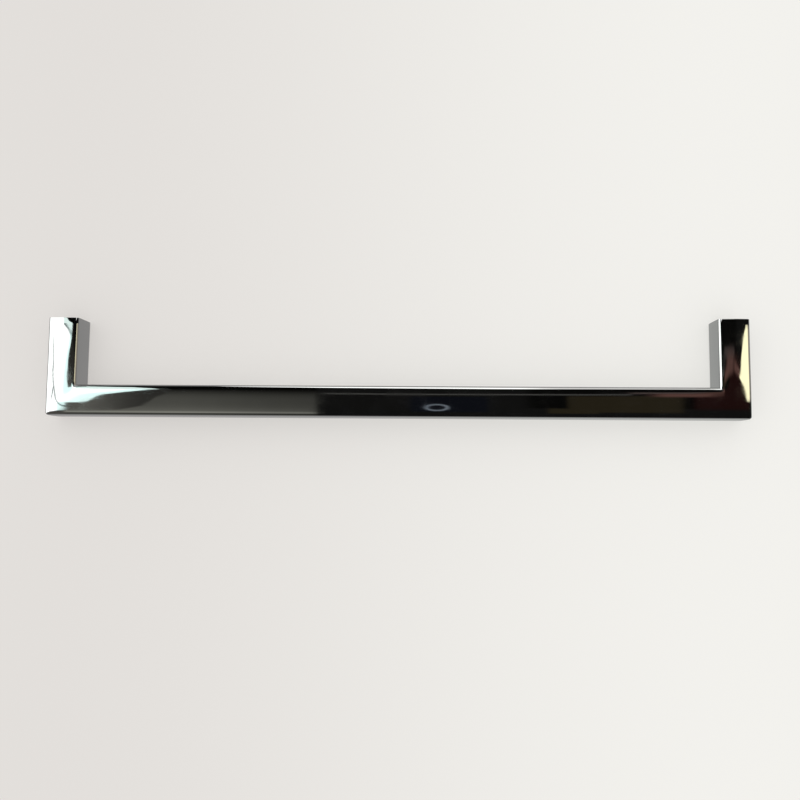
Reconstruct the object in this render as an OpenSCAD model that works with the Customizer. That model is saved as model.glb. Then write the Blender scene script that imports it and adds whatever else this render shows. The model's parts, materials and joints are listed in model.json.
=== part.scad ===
// D pull handle of square section, cast in one piece: a bar with a leg at each end.
// It is drawn as it is fixed. The mounting face is the plane y = 0, the bar runs along X and
// stands off towards -Y, and the origin lies on the mounting face, midway between the two holes.

/* [Handle] */
// Distance between the centres of the two fixing holes
hole_spacing = 192; // [64:1:320]
// Projection, from the mounting face to the outer face of the bar
projection = 28.4; // [24:0.1:45]
// Width of the section seen from the side: the bar's thickness and the width of each leg
section_w = 9; // [7.5:0.1:14]
// Depth of the section, from side face to side face
section_d = 9; // [7.5:0.1:16]

/* [Polished surface] */
// Radius of the soft crown across each long face
crown_r = 120; // [60:1:400]
// Radius of the long edges
edge_r = 0.8; // [0.3:0.1:1.4]
// Radius of the upright edge at each outer corner
corner_r = 0.8; // [0.3:0.1:1.4]

/* [Fixing holes] */
// Diameter of the hole under the thread, 3.3 for an M4 screw
tap_d = 3.3; // [2.5:0.1:4.2]
// Diameter of the countersink at the mouth of the hole
mouth_d = 4.4; // [4.3:0.1:5.5]
// Depth of the hole at its full diameter, from the mounting face
hole_depth = 14; // [8:0.5:17]
// Angle of the countersink, from side to side
mouth_angle = 120; // [60:1:140]
// Angle of the drill's point at the bottom of the hole
point_angle = 118; // [90:1:140]

/* [Hidden] */

// How far a cut or an outline runs past the surface that it ends at
over = 1;
// Facets of a whole turn: the crowns have a long radius and need many
crown_facets = 1440;
turn_facets = 64;

half_w = section_w / 2;
half_d = section_d / 2;

// Each edge's round touches the crowns of both its faces, so its centre lies crown_r - edge_r
// from the centre of each crown. Each coordinate gives the other, and a few steps settle them.
function edge_x(z) = half_w - crown_r + sqrt(pow(crown_r - edge_r, 2) - z * z);
function edge_z(x) = half_d - crown_r + sqrt(pow(crown_r - edge_r, 2) - x * x);
function settled(x, steps) = steps == 0 ? x : settled(edge_x(edge_z(x)), steps - 1);
round_x = settled(half_w - edge_r, 5);
round_z = edge_z(round_x);

// Where the round touches the crown at its side, and the crown above it
to_crown = crown_r / (crown_r - edge_r);
side_touch = [half_w - crown_r + (round_x - half_w + crown_r) * to_crown, round_z * to_crown];
top_touch = [round_x * to_crown, half_d - crown_r + (round_z - half_d + crown_r) * to_crown];

// Middle lines of a leg and of the bar, and the corners where they meet
leg_x = hole_spacing / 2;
bar_y = half_w - projection;
inner_corner = [leg_x - half_w, bar_y + half_w];
// The line that each outer corner's upright edge turns about, and its place across the section
turn_x = half_w - corner_r;
turn = [leg_x + turn_x, bar_y - turn_x];

// Section of the bar and the legs: four crowned faces and four rounded edges
module section() {
    intersection() {
        crowned_square();
        trimmed_corners();
    }
    for (x = [-1, 1], z = [-1, 1])
        translate([x * round_x, z * round_z]) circle(r = edge_r, $fn = turn_facets);
}

// The area inside the arcs of all four faces
module crowned_square() {
    intersection() {
        translate([half_w - crown_r, 0]) circle(r = crown_r, $fn = crown_facets);
        translate([crown_r - half_w, 0]) circle(r = crown_r, $fn = crown_facets);
        translate([0, half_d - crown_r]) circle(r = crown_r, $fn = crown_facets);
        translate([0, crown_r - half_d]) circle(r = crown_r, $fn = crown_facets);
    }
}

// An outline that cuts each corner of the section off where its round begins and ends
module trimmed_corners() {
    quarter = [[half_w + over, 0], [half_w + over, side_touch[1]], side_touch, top_touch,
               [top_touch[0], half_d + over], [0, half_d + over]];
    for (x = [0, 1], z = [0, 1])
        mirror([x, 0]) mirror([0, z]) polygon(concat([[0, 0]], quarter));
}

// Plan outline that leaves the bar between its mitres, with the outer corners left open
module bar_outline() {
    mitre_end = inner_corner + [-over, over];
    polygon([[-turn[0], bar_y - half_w - over], [turn[0], bar_y - half_w - over], turn,
             mitre_end, [-mitre_end[0], mitre_end[1]], [-turn[0], turn[1]]]);
}

// Plan outline that leaves the leg at +X above its mitre, with the outer corner left open
module leg_outline() {
    mitre_end = inner_corner + [-over, over];
    outside = leg_x + half_w + over;
    polygon([turn, [outside, turn[1]], [outside, over], [mitre_end[0], over], mitre_end]);
}

module bar() {
    intersection() {
        translate([0, bar_y, 0]) rotate([90, 0, 90])
            linear_extrude(2 * (leg_x + section_w), center = true) section();
        linear_extrude(2 * section_d, center = true) bar_outline();
    }
}

module leg() {
    intersection() {
        translate([leg_x, 0, 0]) rotate([90, 0, 0]) linear_extrude(projection) section();
        linear_extrude(2 * section_d, center = true) leg_outline();
    }
}

// The outer corner at +X: the outer strip of the section, turned a quarter
module outer_corner() {
    translate([turn[0], turn[1], 0]) rotate([0, 0, -90])
        rotate_extrude(angle = 90, $fn = turn_facets) translate([-turn_x, 0])
            intersection() {
                section();
                translate([turn_x, -section_d]) square([section_w, 2 * section_d]);
            }
}

// The hole at +X, drilled from the mounting face: countersink, full diameter and drill point
module fixing_hole() {
    tap_r = tap_d / 2;
    mouth_r = mouth_d / 2;
    mouth_depth = (mouth_r - tap_r) / tan(mouth_angle / 2);
    flare = over * tan(mouth_angle / 2);
    point_depth = tap_r / tan(point_angle / 2);
    translate([leg_x, 0, 0]) rotate([90, 0, 0])
        rotate_extrude($fn = turn_facets)
            polygon([[0, -over], [mouth_r + flare, -over], [tap_r, mouth_depth],
                     [tap_r, hole_depth], [0, hole_depth + point_depth]]);
}

// The whole casting, with a leg, a corner and a hole at each end
module handle_casting() {
    color("gainsboro") difference() {
        union() {
            bar();
            for (side = [0, 1]) mirror([side, 0, 0]) {
                leg();
                outer_corner();
            }
        }
        for (side = [0, 1]) mirror([side, 0, 0]) fixing_hole();
    }
}

handle_casting();
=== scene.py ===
import json
import math

import bmesh
import bpy
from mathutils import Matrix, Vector


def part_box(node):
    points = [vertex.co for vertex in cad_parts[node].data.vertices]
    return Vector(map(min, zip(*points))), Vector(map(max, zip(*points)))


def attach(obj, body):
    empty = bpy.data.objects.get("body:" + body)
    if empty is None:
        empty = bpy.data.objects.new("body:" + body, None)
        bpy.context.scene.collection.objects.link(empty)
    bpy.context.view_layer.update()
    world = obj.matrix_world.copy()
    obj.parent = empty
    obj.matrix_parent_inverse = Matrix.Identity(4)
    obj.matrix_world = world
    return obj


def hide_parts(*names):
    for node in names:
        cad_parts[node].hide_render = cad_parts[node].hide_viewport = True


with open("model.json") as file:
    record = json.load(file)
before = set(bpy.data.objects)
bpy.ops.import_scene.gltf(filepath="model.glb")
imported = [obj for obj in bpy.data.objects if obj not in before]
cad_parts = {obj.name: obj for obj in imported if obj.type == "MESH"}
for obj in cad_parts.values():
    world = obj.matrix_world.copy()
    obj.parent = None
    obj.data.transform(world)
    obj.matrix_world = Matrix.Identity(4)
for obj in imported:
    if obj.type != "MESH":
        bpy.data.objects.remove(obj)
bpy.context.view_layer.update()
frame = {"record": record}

mm = 0.001
xAxis, yAxis, zAxis = Vector((1, 0, 0)), Vector((0, 1, 0)), Vector((0, 0, 1))

# main sizes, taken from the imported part
low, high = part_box("handle_casting")
mounts = {mount["name"]: mount for mount in frame["record"]["mounts"]}
halfLength = round(high.x, 4)
projection = round(-low.y, 4)
halfDepth = round(high.z, 4)
legX = mounts["right_hole"]["pos_m"][0]  # middle line of a leg
halfWidth = halfLength - legX
barY = halfWidth - projection  # middle line of the bar
tapRadius = mounts["screw_pair"]["dims"]["hole_r_mm"] * mm


# small helpers for shader nodes
def addNode(tree, kind, **settings):
    node = tree.nodes.new(kind)
    for name, value in settings.items():
        setattr(node, name, value)
    return node


def feed(tree, socket, value):  # value is a number, a colour or another node's output
    if isinstance(value, bpy.types.NodeSocket):
        tree.links.new(value, socket)
    elif value is not None:
        socket.default_value = value


def calc(tree, operation, first, second=None, third=None, clamped=False):
    node = addNode(tree, "ShaderNodeMath", operation=operation, use_clamp=clamped)
    for socket, value in zip(node.inputs, (first, second, third)):
        feed(tree, socket, value)
    return node.outputs[0]


def rise(tree, value, at, soft):  # 0 below at, 1 above it, with a soft step between
    node = addNode(tree, "ShaderNodeMapRange", interpolation_type="SMOOTHSTEP")
    feed(tree, node.inputs["Value"], calc(tree, "SUBTRACT", value, at))
    node.inputs["From Min"].default_value = -soft / 2
    node.inputs["From Max"].default_value = soft / 2
    return node.outputs[0]


def fall(tree, value, at, soft):
    return calc(tree, "SUBTRACT", 1.0, rise(tree, value, at, soft))


def both(tree, *masks):
    joined = masks[0]
    for mask in masks[1:]:
        joined = calc(tree, "MULTIPLY", joined, mask)
    return joined


def between(tree, value, start, end, soft):
    return both(tree, rise(tree, value, start, soft), fall(tree, value, end, soft))


def follow(tree, value, points):  # a curve through points (value, result)
    ins, outs = [point[0] for point in points], [point[1] for point in points]
    share = addNode(tree, "ShaderNodeMapRange")
    feed(tree, share.inputs["Value"], value)
    share.inputs["From Min"].default_value = min(ins)
    share.inputs["From Max"].default_value = max(ins)
    curve = addNode(tree, "ShaderNodeFloatCurve")
    spots = [((a - min(ins)) / (max(ins) - min(ins)), (b - min(outs)) / (max(outs) - min(outs)))
             for a, b in points]
    line = curve.mapping.curves[0].points
    line[0].location, line[1].location = spots[0], spots[-1]
    for spot in spots[1:-1]:
        line.new(*spot)
    for point in line:
        point.handle_type = "VECTOR"
    curve.mapping.update()
    tree.links.new(share.outputs[0], curve.inputs["Value"])
    result = addNode(tree, "ShaderNodeMapRange")
    tree.links.new(curve.outputs[0], result.inputs["Value"])
    result.inputs["To Min"].default_value = min(outs)
    result.inputs["To Max"].default_value = max(outs)
    return result.outputs[0]


def paint(tree, under, over, mask):
    mix = addNode(tree, "ShaderNodeMix", data_type="RGBA")
    feed(tree, mix.inputs["Factor"], mask)
    for socket, colour in ((mix.inputs[6], under), (mix.inputs[7], over)):
        feed(tree, socket, colour if isinstance(colour, bpy.types.NodeSocket) else (*colour, 1))
    return mix.outputs[2]


# the casting
casting = {
    "edgeRound": 0.8 * mm,
    "roundSteps": 8,
    "footBreak": 0.15 * mm,  # worn-off edge round each foot
    "barCrown": 120 * mm,  # radius of the soft crown across the faces
    "legCrown": 60 * mm,  # the buffing wheel rounds the legs more, towards their feet
    "legCrownFrom": 4 * mm,  # heights above the bar's middle line where that starts and ends
    "legCrownTo": 13 * mm,
    "faceCells": 12,  # cells across a face
    "barPitch": 4 * mm,
    "legPitch": 1.5 * mm,
    "mouthRadius": 2.2 * mm,
    "mouthDepth": 0.32 * mm,
    "threadPitch": 0.7 * mm,
    "threadHeight": 0.33 * mm,
    "threadDepth": 12.5 * mm,
    "ringsPerTurn": 6,
    "boreDepth": 14 * mm,
    "pointDepth": 1 * mm,
}


def evenly(start, end, cells):
    return [start + (end - start) * step / cells for step in range(cells + 1)]


def sliceAt(bm, axis, spots):
    for spot in spots:
        everything = bm.verts[:] + bm.edges[:] + bm.faces[:]
        bmesh.ops.bisect_plane(bm, geom=everything, dist=1e-7, plane_co=axis * spot, plane_no=axis)


def blankCasting(bm):  # bar first, then a leg drawn up from each end
    bmesh.ops.create_cube(bm, size=1)
    bmesh.ops.scale(bm, vec=(2 * halfLength, 2 * halfWidth, 2 * halfDepth), verts=bm.verts)
    bmesh.ops.translate(bm, vec=(0, barY, 0), verts=bm.verts)
    innerX = legX - halfWidth
    sliceAt(bm, xAxis, [-innerX, innerX])
    ends = [face for face in bm.faces
            if face.normal.y > 0.9 and abs(face.calc_center_median().x) > innerX]
    drawn = bmesh.ops.extrude_face_region(bm, geom=ends)
    tips = [part for part in drawn["geom"] if isinstance(part, bmesh.types.BMVert)]
    bmesh.ops.translate(bm, vec=(0, projection - 2 * halfWidth, 0), verts=tips)
    bmesh.ops.delete(bm, geom=[face for face in ends if face.is_valid], context="FACES_ONLY")
    bmesh.ops.dissolve_limit(bm, angle_limit=math.radians(1), verts=bm.verts, edges=bm.edges)
    bmesh.ops.recalc_face_normals(bm, faces=bm.faces)


def roundEdges(bm):
    def atFoot(edge):
        return all(vert.co.y > -1e-6 for vert in edge.verts)
    long = [edge for edge in bm.edges
            if not atFoot(edge) and edge.calc_face_angle_signed(0) > math.radians(60)]
    bmesh.ops.bevel(bm, geom=long, offset=casting["edgeRound"], offset_type="OFFSET",
                    segments=casting["roundSteps"], profile=0.5, affect="EDGES", material=-1)
    rims = [edge for edge in bm.edges if atFoot(edge)]
    bmesh.ops.bevel(bm, geom=rims, offset=casting["footBreak"], offset_type="OFFSET",
                    segments=2, profile=0.5, affect="EDGES", material=-1)


def sliceFaces(bm):  # a fine grid, so that the crowns can be pressed in
    flatW, flatD = halfWidth - casting["edgeRound"], halfDepth - casting["edgeRound"]
    cells = casting["faceCells"]
    acrossLeg = [legX + spot for spot in evenly(-flatW, flatW, cells)]
    innerX = legX - flatW
    barCells = round(2 * innerX / casting["barPitch"])
    alongBar = evenly(-innerX, innerX, barCells)[1:-1]
    sliceAt(bm, xAxis, alongBar + acrossLeg + [-spot for spot in acrossLeg])
    legStart, legEnd = barY + flatW, -casting["footBreak"]
    legCells = round((legEnd - legStart) / casting["legPitch"])
    sliceAt(bm, yAxis, [barY + spot for spot in evenly(-flatW, flatW, cells)])
    sliceAt(bm, yAxis, evenly(legStart, legEnd, legCells)[1:])
    sliceAt(bm, zAxis, evenly(-flatD, flatD, cells))


def crownFaces(bm):  # each face falls away from its middle line, and smoothly round the corners
    for vert in bm.verts:
        side = 1 if vert.co.x > 0 else -1
        out, up, z = abs(vert.co.x) - legX, vert.co.y - barY, vert.co.z
        share = (up - casting["legCrownFrom"]) / (casting["legCrownTo"] - casting["legCrownFrom"])
        share = min(1, max(0, share))
        share = share * share * (3 - 2 * share)
        bend = (1 - share) / casting["barCrown"] + share / casting["legCrown"]
        legDrop = out * out * bend / 2
        barDrop = up * up / (2 * casting["barCrown"])
        if out >= 0 and up <= 0:
            drop = legDrop + barDrop
        elif out >= 0:
            drop = legDrop
        elif up <= 0:
            drop = barDrop
        else:
            drop = legDrop * barDrop / max(math.hypot(legDrop, barDrop), 1e-12)
        pullX = out if up > 0 or out > 0 else 0
        pullY = up if out < 0 or up < 0 else 0
        if up > halfWidth + 1e-6:
            pullX, pullY = out, 0
        elif out < -halfWidth - 1e-6:
            pullX, pullY = 0, up
        elif out < 0 and up > 0:
            pullX, pullY = out * up / halfWidth, -up * out / halfWidth
        sideDrop = z * z / (2 * casting["barCrown"] * halfWidth)
        vert.co.x -= side * pullX * sideDrop
        vert.co.y -= pullY * sideDrop
        vert.co.z *= 1 - drop / halfDepth


def ringOf(verts):  # the closed ring of edges through these vertices
    inRing = set(verts)
    return [edge for edge in {edge for vert in verts for edge in vert.link_edges}
            if edge.verts[0] in inRing and edge.verts[1] in inRing]


def sinkRing(bm, ring, place):  # draws a ring of edges on, and puts each new vertex in its place
    drawn = bmesh.ops.extrude_edge_only(bm, edges=ring)
    fresh = [part for part in drawn["geom"] if isinstance(part, bmesh.types.BMVert)]
    for vert in fresh:
        place(vert)
    return fresh, ringOf(fresh)


def tapFoot(bm, centreX):
    onFoot = [face for face in bm.faces if face.normal.y > 0.99
              and face.calc_center_median().y > -1e-6 and face.calc_center_median().x * centreX > 0]
    bmesh.ops.delete(bm, geom=onFoot, context="FACES")
    outline = [edge for edge in bm.edges if edge.is_boundary and edge.verts[0].co.x * centreX > 0]

    def placeAt(radiusAt, depth):
        def place(vert):
            angle = math.atan2(vert.co.z, vert.co.x - centreX)
            radius = radiusAt(angle)
            vert.co = (centreX + radius * math.cos(angle), -depth, radius * math.sin(angle))
        return place

    # the foot's face runs straight in from its outline, each vertex at its own angle
    leg = set(bm.faces)
    fresh, ring = sinkRing(bm, outline, placeAt(lambda angle: casting["mouthRadius"], 0))
    foot = [face for face in bm.faces if face not in leg]
    outside = set(bm.faces)
    depth = casting["mouthDepth"]
    fresh, ring = sinkRing(bm, ring, placeAt(lambda angle: tapRadius, depth))
    turns = (casting["threadDepth"] - depth) / casting["threadPitch"]
    rings = round(turns * casting["ringsPerTurn"])
    for step in range(1, rings + 1):
        down = step / casting["ringsPerTurn"]  # in turns
        fade = min(1, down, turns - down)  # the groove runs in and out over one turn

        def groove(angle):
            phase = (down + angle / (2 * math.pi)) % 1
            wave = min(1, max(0, 1.6 * (1 - abs(2 * phase - 1)) - 0.3))
            return tapRadius + casting["threadHeight"] * max(0, fade) * wave
        fresh, ring = sinkRing(bm, ring, placeAt(groove, depth + down * casting["threadPitch"]))
    fresh, ring = sinkRing(bm, ring, placeAt(lambda angle: tapRadius, casting["boreDepth"]))
    tip = casting["boreDepth"] + casting["pointDepth"]
    fresh, ring = sinkRing(bm, ring, placeAt(lambda angle: tapRadius * 0.02, tip))
    bmesh.ops.pointmerge(bm, verts=fresh, merge_co=(centreX, -tip, 0))
    return foot, [wall for wall in bm.faces if wall not in outside]


def makeHandle():
    bm = bmesh.new()
    blankCasting(bm)
    roundEdges(bm)
    sliceFaces(bm)
    crownFaces(bm)
    ground, cut = [], []
    for centreX in (-legX, legX):
        foot, walls = tapFoot(bm, centreX)
        ground += foot
        cut += walls
    bmesh.ops.recalc_face_normals(bm, faces=bm.faces)
    for face in bm.faces:
        face.smooth = True
    for face in ground:
        face.material_index = 1
    for face in cut:
        if face.is_valid:
            face.material_index = 2
    for edge in bm.edges:
        if edge.calc_face_angle(0) > math.radians(35):
            edge.smooth = False
    mesh = bpy.data.meshes.new("handleCasting")
    bm.to_mesh(mesh)
    bm.free()
    piece = bpy.data.objects.new("chromeHandle", mesh)
    bpy.context.scene.collection.objects.link(piece)
    return piece


# finishes
def startGroup(name, inputs, outputs):
    group = bpy.data.node_groups.new(name, "ShaderNodeTree")
    for label, kind, value in inputs:
        socket = group.interface.new_socket(label, in_out="INPUT", socket_type=kind)
        if value is not None:
            socket.default_value = value
    for label in outputs:
        group.interface.new_socket(label, in_out="OUTPUT", socket_type="NodeSocketFloat")
    return group, addNode(group, "NodeGroupInput").outputs, addNode(group, "NodeGroupOutput").inputs


def grain(tree, place, scale, stretch=(1, 1, 1), detail=2.0):  # soft noise, 0 to 1
    turn = addNode(tree, "ShaderNodeMapping")
    tree.links.new(place, turn.inputs["Vector"])
    turn.inputs["Scale"].default_value = stretch
    noise = addNode(tree, "ShaderNodeTexNoise")
    tree.links.new(turn.outputs[0], noise.inputs["Vector"])
    feed(tree, noise.inputs["Scale"], scale)
    noise.inputs["Detail"].default_value = detail
    return noise.outputs["Fac"]


def makeRipple():  # the slight waves that a buffing wheel leaves
    group, given, made = startGroup("buffingRipple", [
        ("Place", "NodeSocketVector", None),
        ("Waves per metre", "NodeSocketFloat", 90.0),
        ("Fine part", "NodeSocketFloat", 0.2)], ["Height"])
    wide = grain(group, given["Place"], given["Waves per metre"], detail=0.0)
    closer = calc(group, "MULTIPLY", given["Waves per metre"], 3.7)
    fine = grain(group, given["Place"], closer, detail=1.0)
    feed(group, made["Height"], calc(group, "MULTIPLY_ADD", fine, given["Fine part"], wide))
    return group


def makeMarks():  # smudges, hairlines and a few specks of dust
    group, given, made = startGroup("handlingMarks", [
        ("Place", "NodeSocketVector", None),
        ("Clean roughness", "NodeSocketFloat", 0.03),
        ("Smudge", "NodeSocketFloat", 0.03),
        ("Hairlines", "NodeSocketFloat", 0.02),
        ("Dust", "NodeSocketFloat", 1.0)], ["Roughness", "Dust", "Tone"])
    place = given["Place"]
    patches = grain(group, place, 160.0, detail=3.0)
    smudge = calc(group, "MULTIPLY", rise(group, patches, 0.56, 0.3), given["Smudge"])
    along = grain(group, place, 900.0, stretch=(0.02, 1, 1), detail=1.0)
    across = grain(group, place, 900.0, stretch=(1, 0.02, 1), detail=1.0)
    lines = rise(group, calc(group, "MAXIMUM", along, across), 0.66, 0.1)
    hair = calc(group, "MULTIPLY", lines, given["Hairlines"])
    rough = calc(group, "ADD", calc(group, "ADD", given["Clean roughness"], smudge), hair)
    cells = addNode(group, "ShaderNodeTexVoronoi")
    group.links.new(place, cells.inputs["Vector"])
    cells.inputs["Scale"].default_value = 190
    pick = addNode(group, "ShaderNodeSeparateColor")
    group.links.new(cells.outputs["Color"], pick.inputs[0])
    size = calc(group, "MULTIPLY", pick.outputs[1], 0.02)
    speck = both(group, fall(group, cells.outputs["Distance"], size, 0.008),
                 rise(group, pick.outputs[0], 0.72, 0.02), given["Dust"])
    feed(group, made["Roughness"], calc(group, "MULTIPLY_ADD", speck, 0.5, rough))
    feed(group, made["Dust"], speck)
    feed(group, made["Tone"], patches)
    return group


finishes = {
    "polishedChrome": {
        "darker": (0.53, 0.537, 0.536), "lighter": (0.57, 0.576, 0.573), "roughness": 0.022,
        "smudge": 0.035, "hairlines": 0.012, "dust": 1.0, "waves": 90.0, "fine": 0.12,
        "height": 5e-6},
    "groundFoot": {
        "darker": (0.46, 0.465, 0.466), "lighter": (0.55, 0.555, 0.553), "roughness": 0.16,
        "smudge": 0.08, "hairlines": 0.12, "dust": 0.4, "waves": 900.0, "fine": 0.6,
        "height": 4e-6},
    "cutThread": {
        "darker": (0.34, 0.34, 0.345), "lighter": (0.46, 0.46, 0.47), "roughness": 0.3,
        "smudge": 0.12, "hairlines": 0.05, "dust": 0.0, "waves": 1500.0, "fine": 0.8,
        "height": 1e-5},
}
dustColour = (0.32, 0.31, 0.3)


def makeFinish(name, ripple, marks):
    look = finishes[name]
    material = bpy.data.materials.new(name)
    material.use_nodes = True
    tree = material.node_tree
    shader = tree.nodes["Principled BSDF"]
    place = addNode(tree, "ShaderNodeTexCoord").outputs["Object"]
    worn = addNode(tree, "ShaderNodeGroup", node_tree=marks)
    for label, value in (("Place", place), ("Clean roughness", look["roughness"]),
                         ("Smudge", look["smudge"]), ("Hairlines", look["hairlines"]),
                         ("Dust", look["dust"])):
        feed(tree, worn.inputs[label], value)
    metal = paint(tree, look["darker"], look["lighter"], worn.outputs["Tone"])
    feed(tree, shader.inputs["Base Color"], paint(tree, metal, dustColour, worn.outputs["Dust"]))
    feed(tree, shader.inputs["Metallic"], calc(tree, "SUBTRACT", 1.0, worn.outputs["Dust"]))
    feed(tree, shader.inputs["Roughness"], worn.outputs["Roughness"])
    waves = addNode(tree, "ShaderNodeGroup", node_tree=ripple)
    for label, value in (("Place", place), ("Waves per metre", look["waves"]),
                         ("Fine part", look["fine"])):
        feed(tree, waves.inputs[label], value)
    bump = addNode(tree, "ShaderNodeBump")
    bump.inputs["Distance"].default_value = look["height"]
    tree.links.new(waves.outputs["Height"], bump.inputs["Height"])
    tree.links.new(bump.outputs[0], shader.inputs["Normal"])
    return material


# the studio: everything that the chrome mirrors. x and y are the parts of a direction to the
# right and up the picture, so 0, 0 is straight overhead and the horizon is a circle of radius 1
studio = {
    "softLight": 1.0,  # even light on everything that isn't a mirror
    "backdrop": (0.86, 0.84, 0.81),
    "lowWall": (0.42, 0.42, 0.41),  # strip just above the horizon
    "room": (0.009, 0.009, 0.0085),
    "shade": (0.004, 0.004, 0.0036),
    "wall": (1.0, 0.985, 0.86),
    "board": (1.0, 0.97, 0.86),
    "cupboard": (0.0276, 0.0224, 0.0125),
    "rail": (0.085, 0.083, 0.078),
    "warmRail": (0.1, 0.075, 0.07),
    "lens": (0.21, 0.24, 0.28),
    "lensShade": (0.0065, 0.0075, 0.011),
    "redWall": (0.0187, 0.0067, 0.006),
    "copper": (0.15, 0.075, 0.062),
    "lamp": (2.0, 1.88, 1.2),
    "lampBeyond": (0.5, 0.43, 0.36),
    "window": (2.4, 2.45, 2.42),
    "windowEdge": (1.45, 1.85, 1.8),
    "pane": (1.3, 1.55, 1.48),
    "windowFrame": (0.14, 0.2, 0.19),
    "sill": (0.1, 0.095, 0.085),
    "screen": (2.1, 2.1, 2.05),
    "screenFar": (1.3, 1.28, 1.25),
}


def addWall(tree, sky, x, y):  # pale wall at the left, with a board leaning on it
    level = follow(tree, y, [(-0.3, 0.08), (-0.2, 0.1), (-0.14, 0.26), (-0.08, 0.37), (-0.04, 0.34),
                             (-0.015, 0.26), (0.01, 0.2), (0.024, 0.165), (0.04, 0.132),
                             (0.06, 0.115), (0.085, 0.107), (0.1, 0.095), (0.112, 0.078),
                             (0.122, 0.056), (0.131, 0.034), (0.14, 0.014), (0.16, 0.004),
                             (0.3, 0.003)])
    further = follow(tree, x, [(-0.42, 0.95), (-0.29, 1.0), (-0.2, 0.74), (-0.13, 0.62)])
    wall = addNode(tree, "ShaderNodeVectorMath", operation="SCALE")
    wall.inputs[0].default_value = studio["wall"]
    tree.links.new(calc(tree, "MULTIPLY", level, further), wall.inputs["Scale"])
    sky = paint(tree, sky, wall.outputs[0], fall(tree, x, -0.137, 0.004))
    board = addNode(tree, "ShaderNodeVectorMath", operation="SCALE")
    board.inputs[0].default_value = studio["board"]
    tone = follow(tree, x, [(-0.42, 0.13), (-0.39, 0.16), (-0.378, 0.13), (-0.362, 0.09),
                            (-0.346, 0.062), (-0.33, 0.042), (-0.31, 0.035), (-0.3, 0.03)])
    tree.links.new(tone, board.inputs["Scale"])
    foot = follow(tree, x, [(-0.42, 0.035), (-0.4, 0.033), (-0.385, 0.025), (-0.3745, 0.017),
                            (-0.3586, 0.019), (-0.347, 0.03), (-0.335, 0.044), (-0.327, 0.069),
                            (-0.32, 0.094), (-0.31, 0.115), (-0.3, 0.15)])
    leaning = both(tree, rise(tree, calc(tree, "SUBTRACT", y, foot), 0.0, 0.008),
                   fall(tree, x, -0.304, 0.01), fall(tree, y, 0.16, 0.02))
    return paint(tree, sky, board.outputs[0], leaning)


def addMiddle(tree, sky, x, y):  # dark room overhead: a lens, a rail and a cupboard
    darker = both(tree, between(tree, x, 0.118, 0.36, 0.02), rise(tree, y, 0.044, 0.006))
    sky = paint(tree, sky, studio["shade"], darker)
    nearLens = both(tree, between(tree, x, -0.024, 0.07, 0.006), between(tree, y, 0.018, 0.112, 0.008))
    sky = paint(tree, sky, studio["lensShade"], nearLens)
    across = calc(tree, "DIVIDE", calc(tree, "SUBTRACT", x, 0.0085), 0.0135)
    upward = calc(tree, "DIVIDE", calc(tree, "SUBTRACT", y, 0.046), 0.0185)
    ring = calc(tree, "SQRT", calc(tree, "ADD", calc(tree, "MULTIPLY", across, across),
                                   calc(tree, "MULTIPLY", upward, upward)))
    sky = paint(tree, sky, studio["lens"], between(tree, ring, 0.78, 1.16, 0.2))
    rail = both(tree, between(tree, x, -0.13, 0.236, 0.01), between(tree, y, 0.1225, 0.1295, 0.003))
    sky = paint(tree, sky, studio["rail"], rail)
    farRail = both(tree, between(tree, x, 0.235, 0.335, 0.02), between(tree, y, 0.131, 0.139, 0.003))
    sky = paint(tree, sky, studio["warmRail"], farRail)
    cupboard = both(tree, between(tree, x, 0.164, 0.291, 0.008), between(tree, y, 0.02, 0.118, 0.012))
    plinth = both(tree, between(tree, x, 0.142, 0.2, 0.008), between(tree, y, -0.012, 0.043, 0.01))
    whole = calc(tree, "MAXIMUM", cupboard, plinth)
    return paint(tree, sky, studio["cupboard"], whole)


def addRight(tree, sky, x, y):  # red wall, a few copper glints on it, and a warm lamp
    red = both(tree, rise(tree, x, 0.303, 0.01), between(tree, y, 0.04, 0.13, 0.02),
               fall(tree, x, 0.5, 0.1))
    sky = paint(tree, sky, studio["redWall"], red)
    glint = both(tree, between(tree, x, 0.262, 0.325, 0.03), between(tree, y, 0.113, 0.131, 0.012))
    slope = calc(tree, "MULTIPLY_ADD", x, 0.22, y)
    streak = both(tree, between(tree, x, 0.33, 0.38, 0.02), between(tree, slope, 0.187, 0.2, 0.008))
    sky = paint(tree, sky, studio["copper"], calc(tree, "MAXIMUM", glint, streak))
    lampEdge = follow(tree, y, [(0.06, 0.43), (0.075, 0.41), (0.083, 0.398), (0.098, 0.388),
                                (0.1075, 0.368), (0.113, 0.38), (0.124, 0.396), (0.136, 0.411),
                                (0.148, 0.423), (0.156, 0.437), (0.165, 0.462), (0.18, 0.5)])
    lamp = both(tree, rise(tree, calc(tree, "SUBTRACT", x, lampEdge), 0.0, 0.01),
                rise(tree, y, 0.079, 0.008), fall(tree, y, 0.163, 0.012))
    sky = paint(tree, sky, studio["lampBeyond"], both(tree, lamp, fall(tree, x, 0.97, 0.03)))
    return paint(tree, sky, studio["lamp"], both(tree, lamp, fall(tree, x, 0.56, 0.04)))


def addScreen(tree, sky, x, y, z):  # pale screen beyond the feet
    lower = follow(tree, x, [(-0.27, 0.98), (-0.23, 0.94), (-0.18, 0.82), (-0.1, 0.62), (0.0, 0.42),
                             (0.08, 0.34), (0.13, 0.42), (0.2, 0.6), (0.3, 0.68), (0.36, 0.72)])
    screen = both(tree, rise(tree, calc(tree, "SUBTRACT", y, lower), 0.0, 0.04),
                  between(tree, x, -0.25, 0.34, 0.02), rise(tree, z, 0.06, 0.02))
    tone = paint(tree, studio["screen"], studio["screenFar"], rise(tree, x, 0.13, 0.06))
    return paint(tree, sky, tone, screen)


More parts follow.
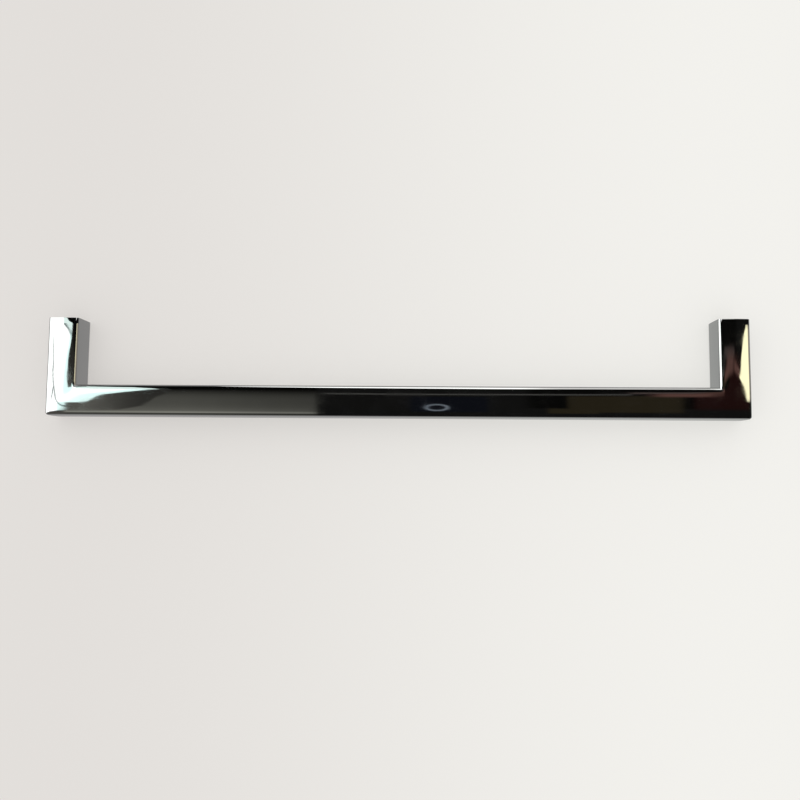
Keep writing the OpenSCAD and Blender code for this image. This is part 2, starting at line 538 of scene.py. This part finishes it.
def addWindow(tree, sky, x, y, z):  # tall window at the left: panes, bars and sill
    near = follow(tree, y, [(0.0, -0.4125), (0.058, -0.4115), (0.061, -0.394), (0.067, -0.389),
                            (0.085, -0.3836), (0.0986, -0.379), (0.1077, -0.3734),
                            (0.1157, -0.361), (0.1236, -0.35), (0.13, -0.34), (0.135, -0.331),
                            (0.142, -0.324), (0.148, -0.318), (0.165, -0.316), (0.2, -0.322)])
    far = follow(tree, y, [(0.2, -0.322), (0.25, -0.34), (0.35, -0.36), (0.5, -0.375),
                           (0.75, -0.39), (0.9, -0.42), (1.0, -0.45)])
    side = addNode(tree, "ShaderNodeMix", data_type="FLOAT")
    feed(tree, side.inputs[0], rise(tree, y, 0.2, 0.001))
    tree.links.new(near, side.inputs[2])
    tree.links.new(far, side.inputs[3])
    inward = calc(tree, "SUBTRACT", x, side.outputs[0])
    glass = paint(tree, studio["window"], studio["windowEdge"], rise(tree, inward, -0.022, 0.02))
    # the upper pane is tinted, above a slanting bar
    barY = follow(tree, x, [(-0.42, 0.163), (-0.402, 0.16), (-0.374, 0.157), (-0.35, 0.153),
                            (-0.326, 0.15), (-0.31, 0.148)])
    overBar = calc(tree, "SUBTRACT", y, barY)
    nearBar = rise(tree, x, -0.406, 0.01)
    glass = paint(tree, glass, studio["pane"], both(tree, rise(tree, overBar, 0.0, 0.002), nearBar))
    slantBar = both(tree, between(tree, overBar, -0.0022, 0.0016, 0.0012), nearBar)
    # the long bar runs down the window and bends away near its foot
    barX = follow(tree, y, [(0.0, -0.385), (0.02, -0.4), (0.0395, -0.414), (0.051, -0.424),
                            (0.063, -0.433), (0.08, -0.445), (0.0895, -0.4536), (0.101, -0.462),
                            (0.113, -0.476), (0.125, -0.495), (0.142, -0.505), (0.165, -0.512)])
    longBar = both(tree, between(tree, calc(tree, "SUBTRACT", x, barX), -0.0032, 0.0032, 0.003),
                   fall(tree, y, 0.143, 0.02))
    forkX = follow(tree, y, [(0.066, -0.468), (0.075, -0.463), (0.086, -0.457), (0.092, -0.454)])
    fork = both(tree, between(tree, calc(tree, "SUBTRACT", x, forkX), -0.0025, 0.0025, 0.002),
                between(tree, y, 0.068, 0.09, 0.006))
    bars = calc(tree, "MAXIMUM", slantBar, calc(tree, "MAXIMUM", longBar, fork))
    glass = paint(tree, glass, studio["windowFrame"], bars)
    below = calc(tree, "SUBTRACT", calc(tree, "MULTIPLY", x, -1.2), 0.51)
    lit = rise(tree, calc(tree, "ADD", y, below), 0.0, 0.06)
    glass = paint(tree, studio["sill"], glass, lit)
    return paint(tree, sky, glass, both(tree, fall(tree, inward, 0.0, 0.004), rise(tree, z, 0.15, 0.03)))


def makeSky():
    world = bpy.data.worlds.new("studioSky")
    bpy.context.scene.world = world
    world.use_nodes = True
    tree = world.node_tree
    tree.nodes.clear()
    look = addNode(tree, "ShaderNodeTexCoord")
    split = addNode(tree, "ShaderNodeSeparateXYZ")
    tree.links.new(look.outputs["Generated"], split.inputs[0])
    x, y, z = split.outputs
    room = addNode(tree, "ShaderNodeRGB")
    room.outputs[0].default_value = (*studio["room"], 1)
    sky = addWall(tree, room.outputs[0], x, y)
    sky = addMiddle(tree, sky, x, y)
    sky = addRight(tree, sky, x, y)
    sky = addScreen(tree, sky, x, y, z)
    sky = addWindow(tree, sky, x, y, z)
    sky = paint(tree, sky, studio["lowWall"], fall(tree, z, 0.035, 0.02))

    path = addNode(tree, "ShaderNodeLightPath")
    seen = addNode(tree, "ShaderNodeBackground")
    tree.links.new(sky, seen.inputs["Color"])
    plain = addNode(tree, "ShaderNodeBackground")
    plain.inputs["Color"].default_value = (1, 1, 1, 1)
    plain.inputs["Strength"].default_value = studio["softLight"]
    behind = addNode(tree, "ShaderNodeBackground")
    behind.inputs["Color"].default_value = (*studio["backdrop"], 1)
    mirrored = addNode(tree, "ShaderNodeMixShader")
    tree.links.new(path.outputs["Is Glossy Ray"], mirrored.inputs[0])
    tree.links.new(plain.outputs[0], mirrored.inputs[1])
    tree.links.new(seen.outputs[0], mirrored.inputs[2])
    final = addNode(tree, "ShaderNodeMixShader")
    tree.links.new(path.outputs["Is Camera Ray"], final.inputs[0])
    tree.links.new(mirrored.outputs[0], final.inputs[1])
    tree.links.new(behind.outputs[0], final.inputs[2])
    out = addNode(tree, "ShaderNodeOutputWorld")
    tree.links.new(final.outputs[0], out.inputs["Surface"])


table = {
    "size": 6.0,
    # painted shade: the table's colour is darker at the left and lighter at the right, a painted
    # fall-off of light across a plain top
    "coolSide": (0.765, 0.738, 0.71),
    "warmSide": (0.895, 0.885, 0.85),
    "mirroredCool": (0.38, 0.37, 0.365),  # painted shade: a darker, shaded copy of the table that only the chrome mirrors, so the chrome's sides show shade
    "mirroredWarm": (0.475, 0.48, 0.465),
    "evenness": 0.6,  # how far the background's own light fills the shadows in
}


def makeTable():
    bm = bmesh.new()
    bmesh.ops.create_grid(bm, x_segments=2, y_segments=2, size=table["size"] / 2)
    bmesh.ops.translate(bm, vec=(0, 0, -halfDepth), verts=bm.verts)
    mesh = bpy.data.meshes.new("tableTop")
    bm.to_mesh(mesh)
    bm.free()
    top = bpy.data.objects.new("tableTop", mesh)
    bpy.context.scene.collection.objects.link(top)
    material = bpy.data.materials.new("paleTable")
    material.use_nodes = True
    tree = material.node_tree
    shader = tree.nodes["Principled BSDF"]
    shader.inputs["Roughness"].default_value = 0.9
    shader.inputs["Specular IOR Level"].default_value = 0.0
    place = addNode(tree, "ShaderNodeTexCoord")
    split = addNode(tree, "ShaderNodeSeparateXYZ")
    tree.links.new(place.outputs["Object"], split.inputs[0])
    # painted shade across the table, darker towards the left
    across = rise(tree, split.outputs[0], 0.0, 0.22)
    colour = paint(tree, table["coolSide"], table["warmSide"], across)
    tree.links.new(colour, shader.inputs["Base Color"])
    path = addNode(tree, "ShaderNodeLightPath")
    bright = addNode(tree, "ShaderNodeEmission")
    tree.links.new(colour, bright.inputs["Color"])
    # painted shade: glossy rays see this darker copy of the table instead of the lit one, so the
    # chrome's sides mirror shade
    mirrored = addNode(tree, "ShaderNodeEmission")
    tone = paint(tree, table["mirroredCool"], table["mirroredWarm"], across)
    tree.links.new(tone, mirrored.inputs["Color"])
    fill = addNode(tree, "ShaderNodeMixShader")
    feed(tree, fill.inputs[0], calc(tree, "MULTIPLY", path.outputs["Is Camera Ray"], table["evenness"]))
    tree.links.new(shader.outputs[0], fill.inputs[1])
    tree.links.new(bright.outputs[0], fill.inputs[2])
    shown = addNode(tree, "ShaderNodeMixShader")
    tree.links.new(path.outputs["Is Glossy Ray"], shown.inputs[0])
    tree.links.new(fill.outputs[0], shown.inputs[1])
    tree.links.new(mirrored.outputs[0], shown.inputs[2])
    # from underneath the table is clear, so the handle can be looked at from there too
    side = addNode(tree, "ShaderNodeNewGeometry")
    clear = addNode(tree, "ShaderNodeBsdfTransparent")
    whole = addNode(tree, "ShaderNodeMixShader")
    tree.links.new(side.outputs["Backfacing"], whole.inputs[0])
    tree.links.new(shown.outputs[0], whole.inputs[1])
    tree.links.new(clear.outputs[0], whole.inputs[2])
    tree.links.new(whole.outputs[0], tree.nodes["Material Output"].inputs["Surface"])
    mesh.materials.append(material)


# the camera, close above the handle, as the picture was taken
view = {
    "place": (10.4 * mm, -43.0 * mm, 236.6 * mm),
    "turn": (4.814, 2.049, 0.503),  # degrees about X, Y and Z
    "lens": 36.99,
}


def makeCamera():
    data = bpy.data.cameras.new("camera")
    data.lens = view["lens"]
    data.sensor_width = 36
    data.clip_start, data.clip_end = 0.01, 20
    camera = bpy.data.objects.new("camera", data)
    camera.location = view["place"]
    camera.rotation_euler = [math.radians(angle) for angle in view["turn"]]
    bpy.context.scene.collection.objects.link(camera)
    bpy.context.scene.camera = camera


print("stage 1: camera, sky and table")
makeCamera()
makeSky()
makeTable()
print("stage 2: casting")
handle = makeHandle()
ripple, marks = makeRipple(), makeMarks()
for name in finishes:
    handle.data.materials.append(makeFinish(name, ripple, marks))
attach(handle, "root")
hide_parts("handle_casting")
print("handle has", len(handle.data.polygons), "faces")

bpy.context.scene.view_settings.view_transform = "Standard"
